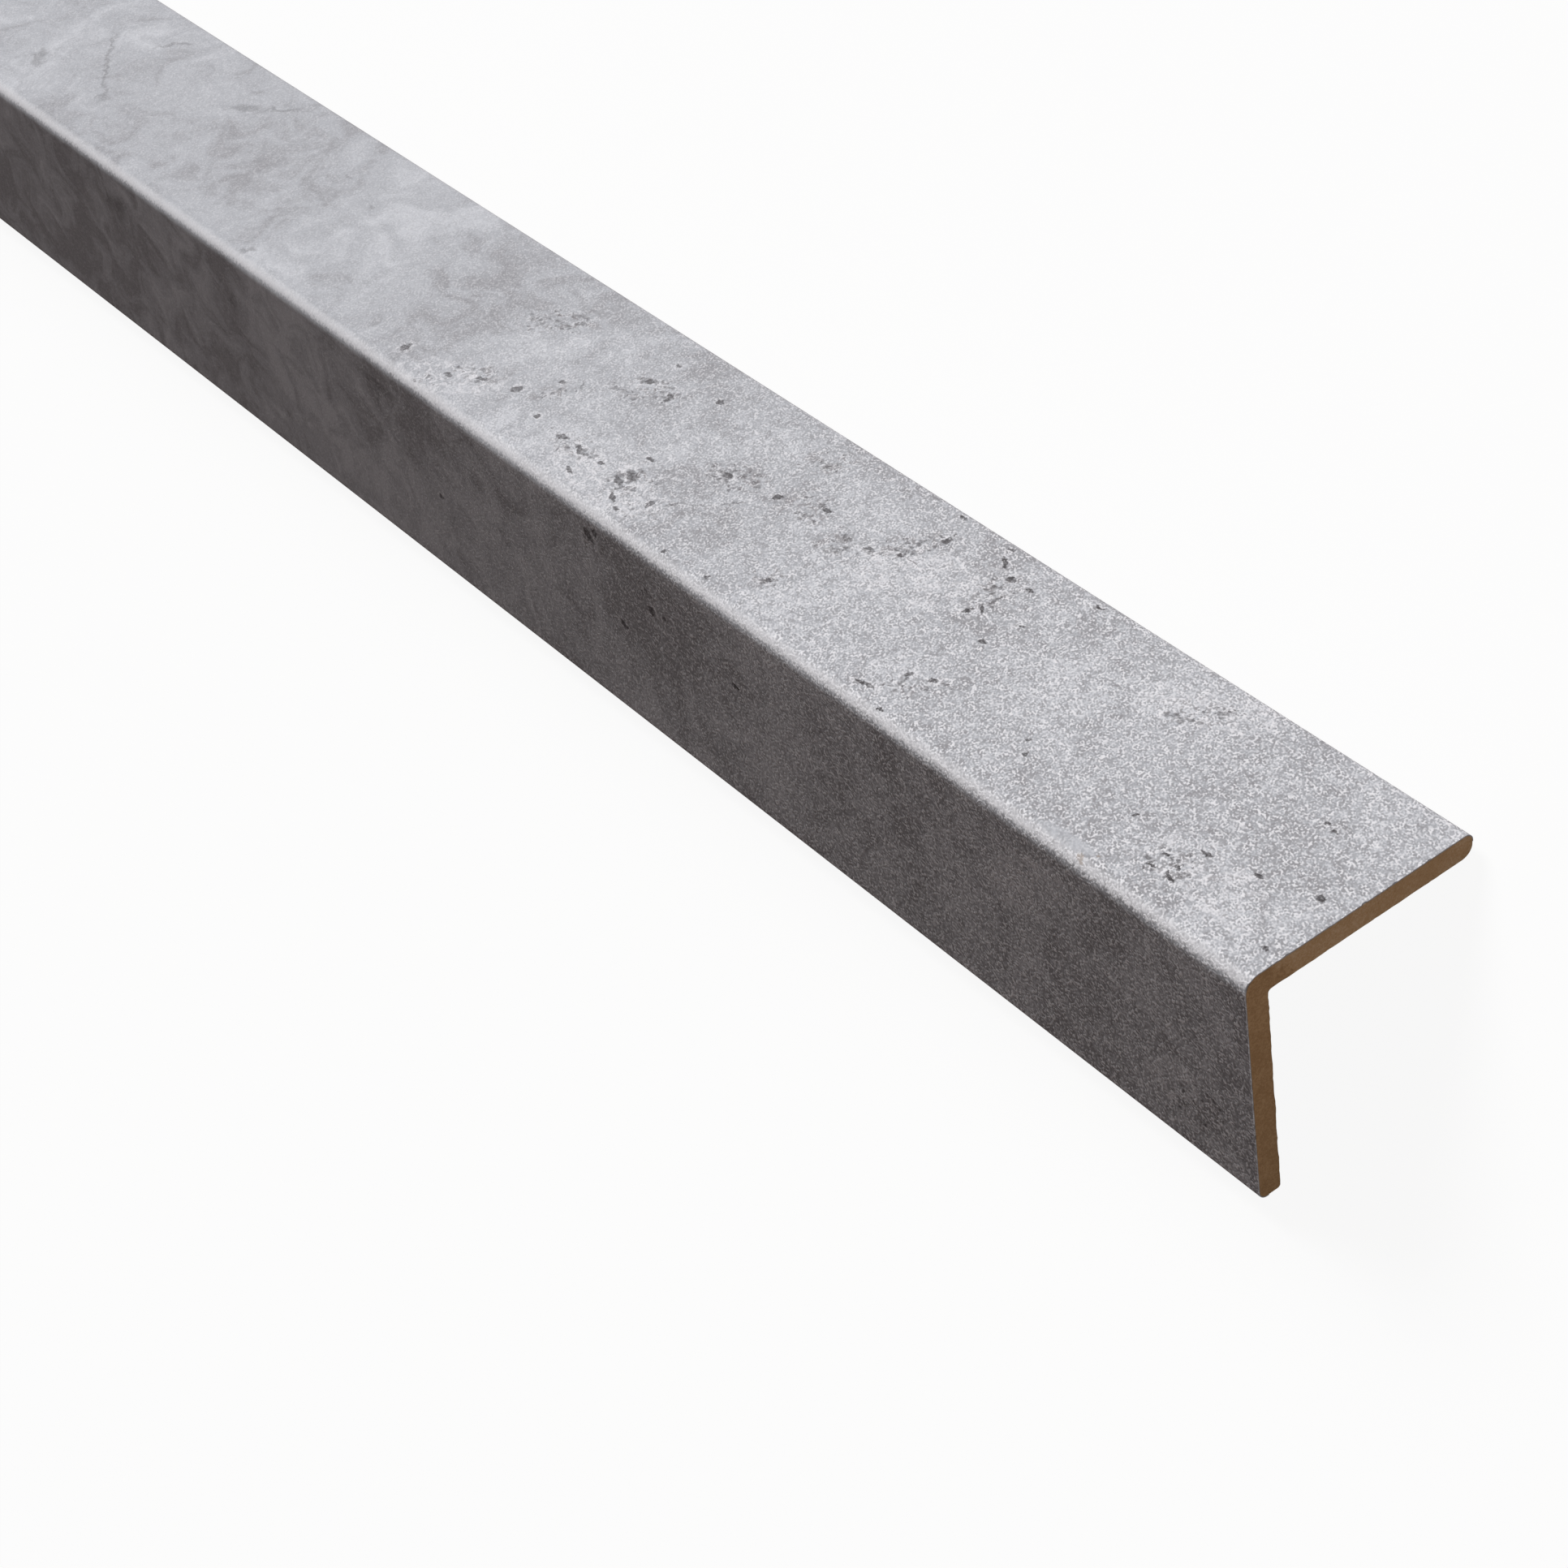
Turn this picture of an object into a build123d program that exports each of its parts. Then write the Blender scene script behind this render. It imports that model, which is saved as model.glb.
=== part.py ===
from build123d import *

import math
import os

# A straight length of angle section for covering a wall or panel corner: a wood fibreboard
# core of L section with a decor sheet wrapped over its two outer faces. Millimetres.
#
# The section lies as it rests on a level floor, like a small roof: the outer corner is the
# ridge on top, and each leg stands on its free edge. X runs along the length, Y across the
# section, Z up. The origin is the middle of the footprint.

# ---- driving dimensions ----

LENGTH = 1000.0  # cut length
LEG = 32.0  # each leg, over the decor, from the outer corner to the free edge
WALL = 3.0  # thickness of a leg, decor and core together
DECOR_THICKNESS = 0.15  # the wrapped sheet
CORNER_RADIUS = 2.0  # outer corner, over the decor
ARRIS_RADIUS = 1.2  # outer arris of each free edge, over the decor
WRAP_PAST_ARRIS = 0.2  # flat stretch of decor on the free edge, beyond the rounded arris
INNER_ARRIS_RADIUS = 0.4  # inner arris of each free edge, bare core
INNER_CORNER_RADIUS = 0.5  # where the inner faces meet

DIAGONAL = math.sqrt(2.0)  # a right angle split in two: each leg falls away at 45 degrees


def resting_reach():
    """Depth of the section below its sharp outer corner, down to the arrises it stands on."""
    edge_of_core = LEG - DECOR_THICKNESS
    rounding = INNER_ARRIS_RADIUS * (2.0 - DIAGONAL)
    return (edge_of_core + WALL - rounding) / DIAGONAL


def section_plane():
    """Plane across the length: x runs down one leg and y down the other, from the ridge."""
    down_first_leg = (0, 1, -1)
    ridge = (0, 0, resting_reach())
    return Plane(origin=ridge, x_dir=down_first_leg, z_dir=(-1, 0, 0))


def wrapped_line(depth):
    """Line over the outside of the angle, from free edge to free edge, this deep below the decor's face."""
    wrap_end = ARRIS_RADIUS + WRAP_PAST_ARRIS
    edge = LEG - depth
    points = [(edge, wrap_end), (edge, depth), (depth, depth), (depth, edge), (wrap_end, edge)]
    radii = [ARRIS_RADIUS - depth, CORNER_RADIUS - depth, ARRIS_RADIUS - depth]
    return FilletPolyline(*points, radius=radii)


def inner_line():
    """Line round the inside of the angle, from one wrap end to the other: free edges and inner faces."""
    wrap_end = ARRIS_RADIUS + WRAP_PAST_ARRIS
    edge = LEG - DECOR_THICKNESS
    points = [(edge, wrap_end), (edge, WALL), (WALL, WALL), (WALL, edge), (wrap_end, edge)]
    radii = [INNER_ARRIS_RADIUS, INNER_CORNER_RADIUS, INNER_ARRIS_RADIUS]
    return FilletPolyline(*points, radius=radii)


def run_along_length(section):
    """Extrude a section drawn in the section plane over the whole cut length."""
    return extrude(section, LENGTH / 2, both=True)


def fibreboard_core():
    """The L-shaped core, rounded to the inside of the decor."""
    outline = Wire([*wrapped_line(DECOR_THICKNESS).edges(), *inner_line().edges()])
    return run_along_length(section_plane() * make_face(outline))


def decor_sheet():
    """One sheet of even thickness over both outer faces, seated on the core all over."""
    face_line = wrapped_line(0.0)
    glue_line = wrapped_line(DECOR_THICKNESS)
    cut_edges = [Line(face_line @ end, glue_line @ end) for end in (0, 1)]
    outline = Wire([*face_line.edges(), *glue_line.edges(), *cut_edges])
    return run_along_length(section_plane() * make_face(outline))


def main():
    os.makedirs("parts", exist_ok=True)
    export_step(fibreboard_core(), "parts/fibreboard_core.step")
    export_step(decor_sheet(), "parts/decor_sheet.step")


main()
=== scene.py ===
"""Looks of a decor-wrapped fibreboard angle section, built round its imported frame.

A brown wood-fibre core of L section carries one sheet of concrete-look decor, which is wrapped over
both outer faces, round the outer corner and over the arris of each free edge. Both ends are sawn.
"""

import logging
import math
from dataclasses import dataclass, field
from enum import Enum
from typing import Sequence, Union

import bmesh
import bpy
import numpy as np
from mathutils import Matrix, Vector, noise
from mathutils.geometry import delaunay_2d_cdt
from mathutils.kdtree import KDTree


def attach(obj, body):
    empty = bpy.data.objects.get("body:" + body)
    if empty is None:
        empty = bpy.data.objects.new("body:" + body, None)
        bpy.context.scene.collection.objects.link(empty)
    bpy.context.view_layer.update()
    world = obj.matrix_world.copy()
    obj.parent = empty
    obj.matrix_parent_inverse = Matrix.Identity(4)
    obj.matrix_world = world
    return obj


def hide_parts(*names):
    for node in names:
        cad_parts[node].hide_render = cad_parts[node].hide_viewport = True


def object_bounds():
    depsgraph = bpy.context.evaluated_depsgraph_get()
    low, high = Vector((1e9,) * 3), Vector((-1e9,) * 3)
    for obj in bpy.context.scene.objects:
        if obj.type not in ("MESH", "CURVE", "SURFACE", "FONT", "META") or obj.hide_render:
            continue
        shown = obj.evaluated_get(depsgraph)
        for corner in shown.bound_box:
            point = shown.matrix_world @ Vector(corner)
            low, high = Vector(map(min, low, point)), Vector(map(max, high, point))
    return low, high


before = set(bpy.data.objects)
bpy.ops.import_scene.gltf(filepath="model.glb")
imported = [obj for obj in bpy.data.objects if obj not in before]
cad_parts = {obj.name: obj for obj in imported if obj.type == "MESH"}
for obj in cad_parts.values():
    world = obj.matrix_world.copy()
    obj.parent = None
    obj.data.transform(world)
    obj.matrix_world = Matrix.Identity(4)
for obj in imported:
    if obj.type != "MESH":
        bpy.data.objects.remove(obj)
cad_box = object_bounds()

log = logging.getLogger("angle_section")

MM = 0.001
ROOT_TWO = math.sqrt(2.0)
SAME_PLACE = 0.001 * MM  # points closer than this are one
SEAM = 0.002 * MM  # widest gap that is welded between the walls and an end
CREASE = math.radians(35.0)  # edges sharper than this stay sharp

Array = np.ndarray
Mesh = bpy.types.Mesh
Material = bpy.types.Material
Socket = bpy.types.NodeSocket
Number = Union[float, int, "Value"]
Colour = tuple[float, float, float]
Point = tuple[float, float]
Place = tuple[float, float, float]
EndFaces = tuple[Array, list[tuple[int, ...]]]
WHITE: Colour = (1.0, 1.0, 1.0)


# ---- Shader graph helpers ----


class Value:
    """A number socket that takes part in Python arithmetic by adding Math nodes."""

    def __init__(self, graph: "Graph", socket: Socket) -> None:
        """Wraps a socket.

        Args:
            graph: The graph that the socket belongs to.
            socket: An output socket that carries a number.
        """
        self.graph = graph
        self.socket = socket

    def __add__(self, other: Number) -> "Value":
        """self + other."""
        return self.graph.math("ADD", self, other)

    def __radd__(self, other: Number) -> "Value":
        """other + self."""
        return self.graph.math("ADD", other, self)

    def __sub__(self, other: Number) -> "Value":
        """self - other."""
        return self.graph.math("SUBTRACT", self, other)

    def __rsub__(self, other: Number) -> "Value":
        """other - self."""
        return self.graph.math("SUBTRACT", other, self)

    def __mul__(self, other: Number) -> "Value":
        """self * other."""
        return self.graph.math("MULTIPLY", self, other)

    def __rmul__(self, other: Number) -> "Value":
        """other * self."""
        return self.graph.math("MULTIPLY", other, self)

    def __truediv__(self, other: Number) -> "Value":
        """self / other."""
        return self.graph.math("DIVIDE", self, other)

    def low(self, other: Number) -> "Value":
        """The smaller of the two."""
        return self.graph.math("MINIMUM", self, other)

    def high(self, other: Number) -> "Value":
        """The larger of the two."""
        return self.graph.math("MAXIMUM", self, other)

    def clamp(self) -> "Value":
        """The value held between 0 and 1."""
        return self.graph.math("ADD", self, 0.0, clamp=True)

    def ramp(self, start: float, end: float) -> "Value":
        """A smooth step from 0 at start to 1 at end; start may be the larger.

        Args:
            start: Value at which the step begins.
            end: Value at which the step is complete.

        Returns:
            The stepped value, between 0 and 1.
        """
        settings = {"interpolation_type": "SMOOTHSTEP"}
        rising = start < end
        limits = (start, end, 0.0, 1.0) if rising else (end, start, 1.0, 0.0)
        links = dict(zip(("From Min", "From Max", "To Min", "To Max"), limits))
        node = self.graph.node("ShaderNodeMapRange", settings, {"Value": self, **links})
        return Value(self.graph, node.outputs["Result"])


class Graph:
    """Builds the nodes of one material or world."""

    def __init__(self, tree: bpy.types.NodeTree) -> None:
        """Empties the tree.

        Args:
            tree: The node tree to fill.
        """
        self.tree = tree
        tree.nodes.clear()

    def node(self, kind: str, settings: dict | None = None, inputs: dict | None = None) -> bpy.types.Node:
        """Adds a node.

        Args:
            kind: The node's type name.
            settings: Attributes to set first, such as an operation.
            inputs: Input name or index to a value, a Value or an output socket.

        Returns:
            The new node.
        """
        node = self.tree.nodes.new(kind)
        for name, setting in (settings or {}).items():
            setattr(node, name, setting)
        for key, given in (inputs or {}).items():
            self._give(node.inputs[key], given)
        return node

    def _give(self, socket: Socket, given: object) -> None:
        """Links or sets one input.

        Args:
            socket: The input.
            given: A value, a Value or an output socket.
        """
        given = given.socket if isinstance(given, Value) else given
        if isinstance(given, Socket):
            self.tree.links.new(given, socket)
        else:
            socket.default_value = given

    def value(self, kind: str, settings: dict | None = None, inputs: dict | None = None,
              out: str | int = 0) -> Value:
        """Adds a node and returns one of its outputs as a Value.

        Args:
            kind: The node's type name.
            settings: Attributes to set first.
            inputs: Input name or index to a value, a Value or an output socket.
            out: Name or index of the output.

        Returns:
            The output, ready for arithmetic.
        """
        return Value(self, self.node(kind, settings, inputs).outputs[out])

    def math(self, operation: str, *inputs: Number, clamp: bool = False) -> Value:
        """Adds one Math node.

        Args:
            operation: The node's operation.
            inputs: Its inputs in order.
            clamp: Whether the result is held between 0 and 1.

        Returns:
            The result.
        """
        settings = {"operation": operation, "use_clamp": clamp}
        return self.value("ShaderNodeMath", settings, dict(enumerate(inputs)))

    def shifted(self, place: Socket, seed: float = 0.0, scale: Place = (1.0, 1.0, 1.0)) -> Socket:
        """Moves a place by a seed, so that two patterns differ, and scales it.

        Args:
            place: Vector socket to change.
            seed: Size of the move.
            scale: Factor along each axis.

        Returns:
            The changed vector socket.
        """
        move = (seed, seed * 0.37, seed * 0.71)
        moved = self.node("ShaderNodeVectorMath", {"operation": "ADD"}, {0: place, 1: move})
        links = {"Vector": moved.outputs[0], "Rotation": (0.0, 0.0, 0.0), "Scale": scale}
        return self.node("ShaderNodeMapping", None, links).outputs[0]

    def noise(self, place: Socket, grain: float, detail: float = 2.0, roughness: float = 0.5,
              distortion: float = 0.0, seed: float = 0.0, dimensions: str = "3D") -> Value:
        """Noise whose features are about one grain across, centred on 0.5.

        Args:
            place: Vector socket, in the unit of grain.
            grain: Size of the features.
            detail: Number of finer octaves.
            roughness: Strength of the finer octaves.
            distortion: How far the pattern is swirled.
            seed: Moves the pattern.
            dimensions: "2D" for a pattern on a sheet, "3D" for one in a solid.

        Returns:
            The noise.
        """
        links = {"Vector": self.shifted(place, seed), "Scale": 1.0 / grain, "Detail": detail,
                 "Roughness": roughness, "Distortion": distortion}
        return self.value("ShaderNodeTexNoise", {"noise_dimensions": dimensions}, links, "Fac")

    def mix(self, factor: Number, first: object, second: object) -> Socket:
        """Mixes two colours.

        Args:
            factor: Share of the second colour.
            first: Colour or colour socket.
            second: Colour or colour socket.

        Returns:
            The mixed colour socket.
        """
        node = self.node("ShaderNodeMix", {"data_type": "RGBA", "blend_type": "MIX", "clamp_factor": True})
        sockets = [socket for socket in node.inputs if socket.enabled]
        for socket, given in zip(sockets, (factor, first, second)):
            self._give(socket, (*given, 1.0) if isinstance(given, tuple) else given)
        return next(socket for socket in node.outputs if socket.enabled)

    def warped(self, place: Socket, grain: float, reach: float, seed: float) -> Socket:
        """Pushes a place about by noise, so that shapes drawn on it turn ragged.

        Args:
            place: Vector socket.
            grain: Size of the noise's features.
            reach: How far the place moves, in all.
            seed: Moves the noise.

        Returns:
            The pushed vector socket.
        """
        links = {"Vector": self.shifted(place, seed), "Scale": 1.0 / grain, "Detail": 2.0, "Roughness": 0.6}
        push = self.node("ShaderNodeTexNoise", {"noise_dimensions": "3D"}, links).outputs["Color"]
        settings = {"operation": "MULTIPLY_ADD"}
        centred = self.node("ShaderNodeVectorMath", settings, {
            0: push, 1: (reach, reach, 0.0), 2: (-reach / 2.0, -reach / 2.0, 0.0)}).outputs[0]
        return self.node("ShaderNodeVectorMath", {"operation": "ADD"}, {0: place, 1: centred}).outputs[0]

    def seen_directly(self) -> Value:
        """Tells what is looked at from what only lights the part.

        Returns:
            1 for rays from the camera and from reflections, 0 for light that falls on something.
        """
        rays = self.node("ShaderNodeLightPath").outputs
        kinds = ("Is Camera Ray", "Is Glossy Ray", "Is Transmission Ray")
        camera, glossy, through = (Value(self, rays[kind]) for kind in kinds)
        return camera.high(glossy).high(through)

    def length(self, vector: Socket) -> Value:
        """The length of a vector."""
        return self.value("ShaderNodeVectorMath", {"operation": "LENGTH"}, {0: vector}, "Value")


def srgb(red: float, green: float, blue: float) -> Colour:
    """Turns a screen colour into the linear one that shaders take.

    Args:
        red: Red, 0 to 255.
        green: Green, 0 to 255.
        blue: Blue, 0 to 255.

    Returns:
        The linear colour.
    """

    def linear(level: float) -> float:
        """One channel, made linear."""
        share = level / 255.0
        return share / 12.92 if share <= 0.04045 else ((share + 0.055) / 1.055) ** 2.4

    return linear(red), linear(green), linear(blue)


# ---- The section ----


@dataclass(frozen=True)
class Section:
    """The angle's cross-section, in metres, in leg coordinates.

    A point of the section is (p, q): p runs from the sharp outer corner down the first leg and q down
    the second. The section rests on its two free edges with the corner on top, as a small roof. The
    first leg's inner arris has the larger nose_radius, which makes its free edge nearly round.
    """

    length: float
    leg: float = 32.0 * MM
    wall: float = 3.0 * MM
    decor: float = 0.15 * MM
    corner_radius: float = 2.0 * MM
    arris_radius: float = 1.2 * MM
    wrap_past_arris: float = 0.2 * MM
    inner_arris_radius: float = 0.4 * MM
    nose_radius: float = 1.5 * MM
    inner_corner_radius: float = 0.5 * MM

    @property
    def reach(self) -> float:
        """Height of the sharp outer corner over the floor."""
        rounding = self.inner_arris_radius * (2.0 - ROOT_TWO)
        return (self.leg - self.decor + self.wall - rounding) / ROOT_TWO

    def to_world(self, along: Array, p: Array, q: Array) -> Array:
        """Places of section points in the frame.

        Args:
            along: X of each point.
            p: Distance down the first leg.
            q: Distance down the second leg.

        Returns:
            An array of one row of X, Y, Z for each point.
        """
        return np.stack([along, (p - q) / ROOT_TWO, self.reach - (p + q) / ROOT_TWO], axis=-1)

    def to_legs(self, places: Array) -> tuple[Array, Array]:
        """Distances down the two legs of places in the frame.

        Args:
            places: One row of X, Y, Z for each point.

        Returns:
            The distances down the first and the second leg.
        """
        across, down = places[:, 1] * ROOT_TWO, (self.reach - places[:, 2]) * ROOT_TWO
        return (down + across) / 2.0, (down - across) / 2.0

    def outer_line(self, depth: float, run_step: float, arc_steps: int) -> Array:
        """The line over the outside, this deep under the decor's face, from one wrap end to the other.

        Args:
            depth: Depth below the decor's face.
            run_step: Longest step on a straight run.
            arc_steps: Number of steps round each rounded arris and corner.

        Returns:
            One row of p and q for each point.
        """
        wrap_end, edge = self.arris_radius + self.wrap_past_arris, self.leg - depth
        corners = [(edge, wrap_end), (edge, depth), (depth, depth), (depth, edge), (wrap_end, edge)]
        radii = [self.arris_radius - depth, self.corner_radius - depth, self.arris_radius - depth]
        return rounded_line(corners, radii, run_step, arc_steps)

    def inner_line(self, run_step: float, arc_steps: int) -> Array:
        """The core's line round the inside of the angle, from the second wrap end back to the first.

        Args:
            run_step: Longest step on a straight run.
            arc_steps: Number of steps round each rounded arris and corner.

        Returns:
            One row of p and q for each point.
        """
        wrap_end, edge = self.arris_radius + self.wrap_past_arris, self.leg - self.decor
        wall = self.wall
        corners = [(wrap_end, edge), (wall, edge), (wall, wall), (edge, wall), (edge, wrap_end)]
        radii = [self.inner_arris_radius, self.inner_corner_radius, self.nose_radius]
        return rounded_line(corners, radii, run_step, arc_steps)


def rounded_line(corners: Sequence[Point], radii: Sequence[float], run_step: float,
                 arc_steps: int) -> Array:
    """Points along a line of right-angled corners, each rounded with its own radius.

    Args:
        corners: The line's two ends with the sharp corners between them.
        radii: One radius for each corner between the ends.
        run_step: Longest step on a straight run.
        arc_steps: Number of steps round each arc.

    Returns:
        One row for each point, from the first end to the last.
    """
    points = [np.array(corners[0], float)]

    def run_to(target: Array) -> None:
        """Adds the points of a straight run.

        Args:
            target: End of the run.
        """
        start = points[-1]
        steps = max(1, math.ceil(np.linalg.norm(target - start) / run_step))
        points.extend(start + (target - start) * k / steps for k in range(1, steps + 1))

    for before, corner, after, radius in zip(corners, corners[1:], corners[2:], radii):
        corner = np.array(corner, float)
        back, ahead = (np.array(end, float) - corner for end in (before, after))
        back, ahead = back / np.linalg.norm(back), ahead / np.linalg.norm(ahead)
        run_to(corner + back * radius)
        centre = corner + (back + ahead) * radius
        for k in range(1, arc_steps + 1):
            turn = math.pi / 2.0 * k / arc_steps
            points.append(centre - ahead * radius * math.cos(turn) - back * radius * math.sin(turn))
    run_to(np.array(corners[-1], float))
    return np.array(points)


def lengths_along(line: Array) -> Array:
    """Distance of each point of a line from its first point."""
    steps = np.linalg.norm(np.diff(line, axis=0), axis=1)
    return np.concatenate([[0.0], np.cumsum(steps)])


# ---- Geometry Nodes: a profile run along the length ----


class LengthRun:
    """A Geometry Nodes tree that runs a closed profile along X, with its rings crowded at both ends."""

    def __init__(self) -> None:
        """Builds the tree with its named inputs."""
        self.tree = bpy.data.node_groups.new("run_along_length", "GeometryNodeTree")
        sockets = self.tree.interface
        sockets.new_socket("Geometry", in_out="OUTPUT", socket_type="NodeSocketGeometry")
        self.inputs = {
            name: sockets.new_socket(name, in_out="INPUT", socket_type=kind).identifier
            for name, kind in (
                ("Geometry", "NodeSocketGeometry"),
                ("Length", "NodeSocketFloat"),
                ("Rings", "NodeSocketInt"),
                ("Points", "NodeSocketInt"),
                ("Finish", "NodeSocketMaterial"),
            )
        }
        self._fill()

    def _fill(self) -> None:
        """Adds the nodes: a grid whose columns are profile points and whose rows are rings."""
        graph = Graph(self.tree)
        given = graph.node("NodeGroupInput").outputs
        rings, points = Value(graph, given["Rings"]), Value(graph, given["Points"])
        grid = graph.node("GeometryNodeMeshGrid", None, {
            "Size X": 2.0, "Size Y": 1.0, "Vertices X": rings, "Vertices Y": points + 1.0})
        place = graph.node("GeometryNodeInputPosition").outputs[0]
        axes = graph.node("ShaderNodeSeparateXYZ", None, {0: place}).outputs
        along, column = Value(graph, axes[0]), Value(graph, axes[1])
        crowded = graph.math("SINE", along * (math.pi / 2.0))
        wrapped = graph.math("FLOORED_MODULO", graph.math("ROUND", (column + 0.5) * points), points)
        profile_place = graph.node("GeometryNodeInputPosition").outputs[0]
        sample = graph.node("GeometryNodeSampleIndex", {"data_type": "FLOAT_VECTOR", "domain": "POINT"}, {
            "Geometry": given["Geometry"], "Value": profile_place, "Index": wrapped})
        section = graph.node("ShaderNodeSeparateXYZ", None, {0: sample.outputs[0]}).outputs
        half = Value(graph, given["Length"]) * 0.5
        target = graph.node("ShaderNodeCombineXYZ", None, {
            0: crowded * half, 1: section[1], 2: section[2]}).outputs[0]
        moved = graph.node("GeometryNodeSetPosition", None, {
            "Geometry": grid.outputs["Mesh"], "Position": target})
        closed = graph.node("GeometryNodeMergeByDistance", None, {
            "Geometry": moved.outputs[0], "Distance": SAME_PLACE})
        real = graph.node("GeometryNodeRealizeInstances", None, {"Geometry": closed.outputs[0]})
        dressed = graph.node("GeometryNodeSetMaterial", None, {
            "Geometry": real.outputs[0], "Material": given["Finish"]})
        graph.node("NodeGroupOutput", None, {"Geometry": dressed.outputs[0]})

    def run(self, name: str, profile: Array, length: float, rings: int, finish: Material) -> Mesh:
        """Runs a profile along the length and returns the plain mesh of its walls.

        Args:
            name: Name of the new mesh.
            profile: Closed line of world places, one row for each point.
            length: Length along X, centred on the origin.
            rings: Number of rings of the profile.
            finish: Material of the walls.

        Returns:
            A mesh with open ends.
        """
        source = bpy.data.meshes.new(name + "_profile")
        source.from_pydata([tuple(point) for point in profile], [], [])
        carrier = bpy.data.objects.new(name + "_profile", source)
        bpy.context.scene.collection.objects.link(carrier)
        modifier = carrier.modifiers.new("run", "NODES")
        modifier.node_group = self.tree
        modifier[self.inputs["Length"]] = length
        modifier[self.inputs["Rings"]] = rings
        modifier[self.inputs["Points"]] = len(profile)
        modifier[self.inputs["Finish"]] = finish
        graph = bpy.context.evaluated_depsgraph_get()
        walls = bpy.data.meshes.new_from_object(carrier.evaluated_get(graph), depsgraph=graph)
        bpy.data.objects.remove(carrier)
        walls.name = name
        return walls


# ---- Finishes ----

SHEET_PLACE = "sheet_place"  # attribute: X and distance across the sheet in millimetres, and 1 on its back


class Print(Enum):
    """What a printed mark of the concrete pattern is."""

    PIT = "dark round or slanting pit"
    SCAR = "fainter pit or short crack"
    SWARM = "region strewn with small pits"
    CRUST = "pale region round a group of pits"
    STAIN = "soft darker spot or streak"
    SMEAR = "smooth pressed spot without emboss"
    CHIP = "tiny brown chip"


@dataclass(frozen=True)
class Mark:
    """One oval of the printed pattern, in millimetres and degrees.

    Attributes:
        kind: What is printed there.
        back: Distance from the near end.
        across: Distance from the outer corner, down the first leg, or down the second where negative.
        long: Half its length.
        wide: Half its width.
        turn: Angle of its long axis from the length of the angle, turning towards the first free edge.
    """

    kind: Print
    back: float
    across: float
    long: float
    wide: float
    turn: float = 0.0


CORNER_OFFSET = 0.43  # millimetres of sheet that the rounded corner saves on each leg
UNUSED = 1.0e6  # scale of an axis that does not count


def marks(kind: Print, *ovals: tuple[float, ...]) -> tuple[Mark, ...]:
    """Marks of one kind, each given as back, across, long, wide and, where it is turned, turn."""
    return tuple(Mark(kind, *oval) for oval in ovals)


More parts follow.
